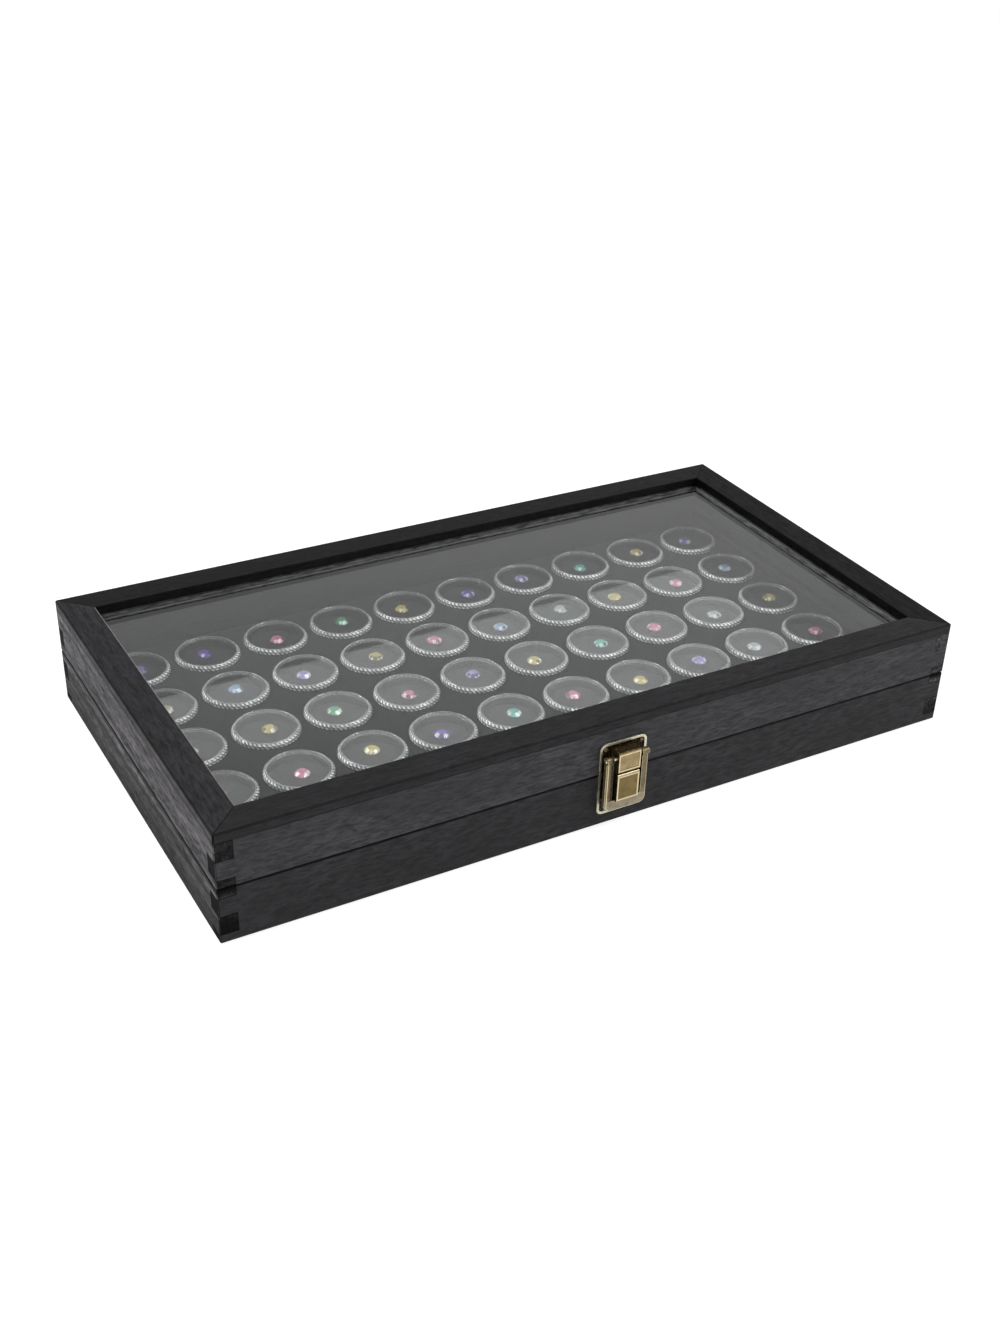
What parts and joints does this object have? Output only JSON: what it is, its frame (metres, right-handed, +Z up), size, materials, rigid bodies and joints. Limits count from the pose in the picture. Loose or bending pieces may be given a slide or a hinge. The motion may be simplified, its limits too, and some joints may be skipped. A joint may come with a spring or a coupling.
{
  "type": "display case",
  "caption": "Shallow black wooden display case with a glazed hinged lid, a foam insert of round clear gem jars and a brass flap latch.",
  "frame": {"origin": "middle of the wooden box's underside", "axes": "+X along the case to the right, seen from the latch side, +Y to the hinged back, +Z up"},
  "size_m": [0.3746, 0.2208, 0.054],
  "materials": {
    "black_wood": "black-stained open grain, satin",
    "bottom_plywood": "black-stained plywood, matte",
    "pane_glass": "clear polished",
    "hinge_brass": "aged, satin",
    "antique_brass": "antiqued, dark in its hollows and bright on its edges",
    "insert_foam": "black dense foam, matte",
    "pad_foam": "black soft foam, matte",
    "jar_plastic": "clear polished",
    "gem_blue": "cut and polished",
    "gem_clear": "cut and polished",
    "gem_green": "cut and polished",
    "gem_lavender": "cut and polished",
    "gem_pink": "cut and polished",
    "gem_purple": "cut and polished",
    "gem_teal": "cut and polished",
    "gem_yellow": "cut and polished"
  },
  "bodies": {
    "base": {"base_front_board": "black_wood", "base_back_board": "black_wood", "base_left_board": "black_wood", "base_right_board": "black_wood", "base_bottom_panel": "bottom_plywood", "hinge_base_leaves": "hinge_brass", "hinge_base_screws": "hinge_brass", "hinge_pins": "hinge_brass", "latch_base_plate": "antique_brass", "latch_base_nails": "antique_brass"},
    "insert": {"foam_insert": "insert_foam", "jar_cups": "jar_plastic", "jar_lids": "jar_plastic", "jar_pads": "pad_foam", "gems_blue": "gem_blue", "gems_clear": "gem_clear", "gems_green": "gem_green", "gems_lavender": "gem_lavender", "gems_pink": "gem_pink", "gems_purple": "gem_purple", "gems_teal": "gem_teal", "gems_yellow": "gem_yellow"},
    "lid": {"lid_front_board": "black_wood", "lid_back_board": "black_wood", "lid_left_board": "black_wood", "lid_right_board": "black_wood", "lid_front_rail": "black_wood", "lid_back_rail": "black_wood", "lid_left_rail": "black_wood", "lid_right_rail": "black_wood", "glass_front_bead": "black_wood", "glass_back_bead": "black_wood", "glass_left_bead": "black_wood", "glass_right_bead": "black_wood", "glass_pane": "pane_glass", "hinge_lid_leaves": "hinge_brass", "hinge_lid_screws": "hinge_brass", "latch_lid_plate": "antique_brass", "latch_lid_nails": "antique_brass", "latch_pin": "antique_brass"},
    "latch_flap": {"latch_lever": "antique_brass"}
  },
  "joints": [
    {"name": "lid_hinge", "type": "hinge", "parent": "base", "child": "lid", "pos_m": [0, 0.10718, 0.027], "axis": [-1, 0, 0], "range_deg": [0, 110]},
    {"name": "latch_flip", "type": "hinge", "parent": "lid", "child": "latch_flap", "pos_m": [0, -0.10887, 0.0366], "axis": [-1, 0, 0], "range_deg": [0, 165]},
    {"name": "insert_lift", "type": "slide", "parent": "base", "child": "insert", "axis": [0, 0, 1], "range_m": [0, 0.018]}
  ]
}
